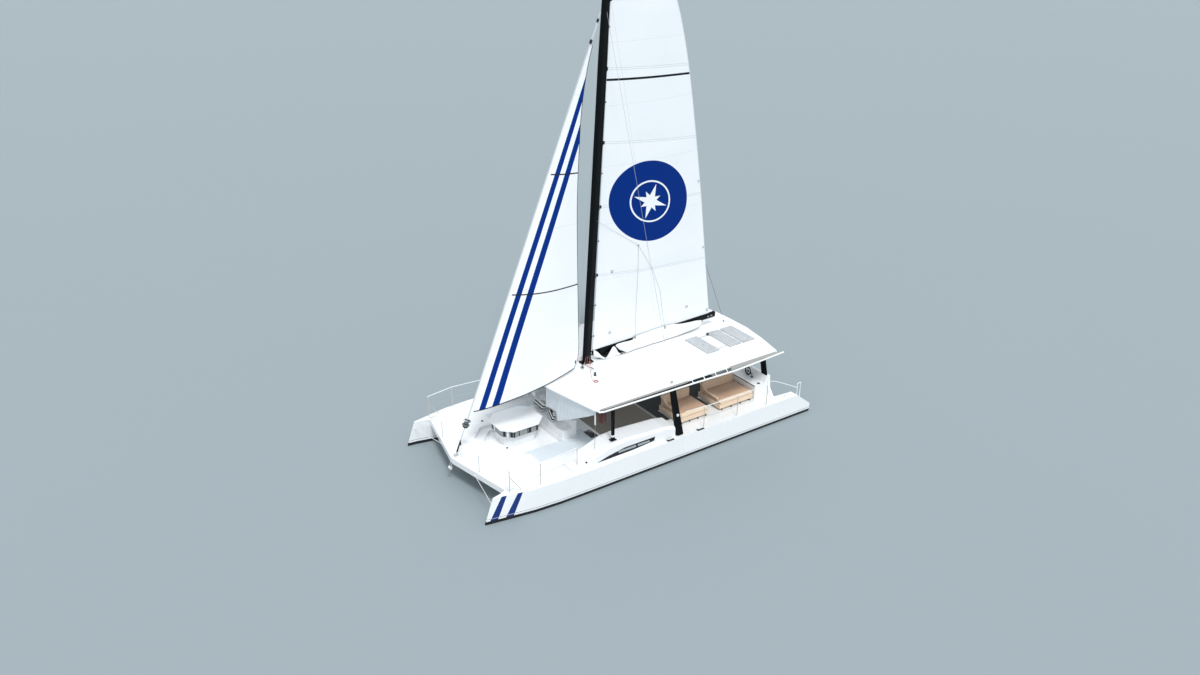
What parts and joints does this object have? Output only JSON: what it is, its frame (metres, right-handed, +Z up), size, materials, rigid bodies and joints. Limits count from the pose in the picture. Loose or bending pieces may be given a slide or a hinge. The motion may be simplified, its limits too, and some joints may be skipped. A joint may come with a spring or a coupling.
{
  "type": "sailing catamaran",
  "caption": "Twin-hulled sailing boat for day trips: open deck under a hardtop, sun beds, foredeck lounge, furling jib, and a mainsail on a swinging boom.",
  "frame": {"origin": "on the centreline at mid-length of the hulls, in the plane of the water", "axes": "+X towards the bows, +Y to port, +Z up"},
  "size_m": [15.96, 7.68, 22.2],
  "materials": {
    "gelcoat": "polished white gelcoat on glass-fibre moulding",
    "antifouling": "matt black antifouling paint",
    "black_carbon": "satin black lacquered carbon",
    "stainless": "polished stainless tube and wire",
    "aluminium": "anodised extrusion",
    "sailcloth": "white laminated sailcloth",
    "awning_cloth": "grey-brown coated awning cloth, rolled",
    "curtain_cloth": "pale grey coated weather cloth",
    "upholstery": "tan outdoor upholstery",
    "bed_frame": "pale tan moulded frame with small black feet",
    "striped_cloth": "black and white striped cushion covers",
    "dark_glass": "dark tinted acrylic",
    "solar_cell": "pale grey panel with darker lines",
    "wicker": "grey woven resin panels",
    "bronze": "cast bronze",
    "engine_grey": "painted engine block"
  },
  "bodies": {
    "hull_and_deck": {"hull_port": "gelcoat", "hull_starboard": "gelcoat", "engine_port": "engine_grey", "engine_starboard": "engine_grey", "bridge_deck": "gelcoat", "table_base": "wicker", "table_top": "gelcoat", "lounge_sofa": "gelcoat", "striped_cushions": "striped_cloth", "side_trunk_port": "gelcoat", "side_trunk_starboard": "gelcoat", "side_window_port": "dark_glass", "side_window_starboard": "dark_glass", "hardtop_roof": "gelcoat", "rolled_curtain_port": "awning_cloth", "rolled_curtain_starboard": "awning_cloth", "solar_panels_port": "solar_cell", "solar_panels_starboard": "solar_cell", "post_front_port": "black_carbon", "post_front_starboard": "black_carbon", "post_mid_port": "black_carbon", "post_mid_starboard": "black_carbon", "post_aft_port": "black_carbon", "post_aft_starboard": "black_carbon", "front_curtain_port": "curtain_cloth", "front_curtain_starboard": "curtain_cloth", "mast": "black_carbon", "mast_post": "gelcoat", "furling_stay": "aluminium", "jib": "sailcloth", "jib_track": "aluminium", "shroud_port": "stainless", "shroud_starboard": "stainless", "bed_frame_forward_port": "bed_frame", "bed_cushion_forward_port": "upholstery", "bed_frame_aft_port": "bed_frame", "bed_cushion_aft_port": "upholstery", "bed_frame_forward_starboard": "bed_frame", "bed_cushion_forward_starboard": "upholstery", "bed_frame_aft_starboard": "bed_frame", "bed_cushion_aft_starboard": "upholstery", "aft_wall": "gelcoat", "helm_console": "gelcoat", "bow_rail_port": "stainless", "bow_rail_starboard": "stainless", "side_rail_port": "stainless", "side_rail_starboard": "stainless", "stern_hoop_port": "stainless", "stern_hoop_starboard": "stainless"},
    "boom_and_mainsail": {"boom": "black_carbon", "mainsail": "sailcloth", "sail_bag_port": "sailcloth", "sail_bag_starboard": "sailcloth"},
    "rudder_port": {"rudder_port": "antifouling"},
    "rudder_starboard": {"rudder_starboard": "antifouling"},
    "helm_wheel": {"helm_wheel": "black_carbon"},
    "propeller_port": {"propeller_port": "bronze"},
    "propeller_starboard": {"propeller_starboard": "bronze"},
    "engine_hatch_port": {"engine_hatch_port": "gelcoat"},
    "engine_hatch_starboard": {"engine_hatch_starboard": "gelcoat"}
  },
  "joints": [
    {"name": "boom_swing", "type": "hinge", "parent": "hull_and_deck", "child": "boom_and_mainsail", "pos_m": [0.95, 0, 3.76], "axis": [-0.0624, 0, 0.9981], "range_deg": [-55, 55]},
    {"name": "rudder_port_turn", "type": "hinge", "parent": "hull_and_deck", "child": "rudder_port", "pos_m": [-7.08, 3.14, -0.6], "axis": [0, 0, 1], "range_deg": [-35, 35]},
    {"name": "rudder_starboard_turn", "type": "hinge", "parent": "hull_and_deck", "child": "rudder_starboard", "pos_m": [-7.08, -3.14, -0.6], "axis": [0, 0, 1], "range_deg": [-35, 35]},
    {"name": "helm_turn", "type": "hinge", "parent": "hull_and_deck", "child": "helm_wheel", "pos_m": [-5.79, 2.12, 1.9], "axis": [1, 0, 0], "range_deg": [-280, 280]},
    {"name": "propeller_port_spin", "type": "hinge", "parent": "hull_and_deck", "child": "propeller_port", "pos_m": [-6.33, 3.12, -0.64], "axis": [1, 0, 0], "continuous": true},
    {"name": "propeller_starboard_spin", "type": "hinge", "parent": "hull_and_deck", "child": "propeller_starboard", "pos_m": [-6.33, -3.12, -0.64], "axis": [1, 0, 0], "continuous": true},
    {"name": "engine_hatch_port_lift", "type": "hinge", "parent": "hull_and_deck", "child": "engine_hatch_port", "pos_m": [-6.33, 3.12, 0.55], "axis": [0, 1, 0], "range_deg": [0, 80]},
    {"name": "engine_hatch_starboard_lift", "type": "hinge", "parent": "hull_and_deck", "child": "engine_hatch_starboard", "pos_m": [-6.33, -3.12, 0.55], "axis": [0, 1, 0], "range_deg": [0, 80]}
  ],
  "couplings": [
    {"joint": "rudder_starboard_turn", "follows": "rudder_port_turn", "ratio": 1},
    {"joint": "helm_turn", "follows": "rudder_port_turn", "ratio": 8}
  ]
}
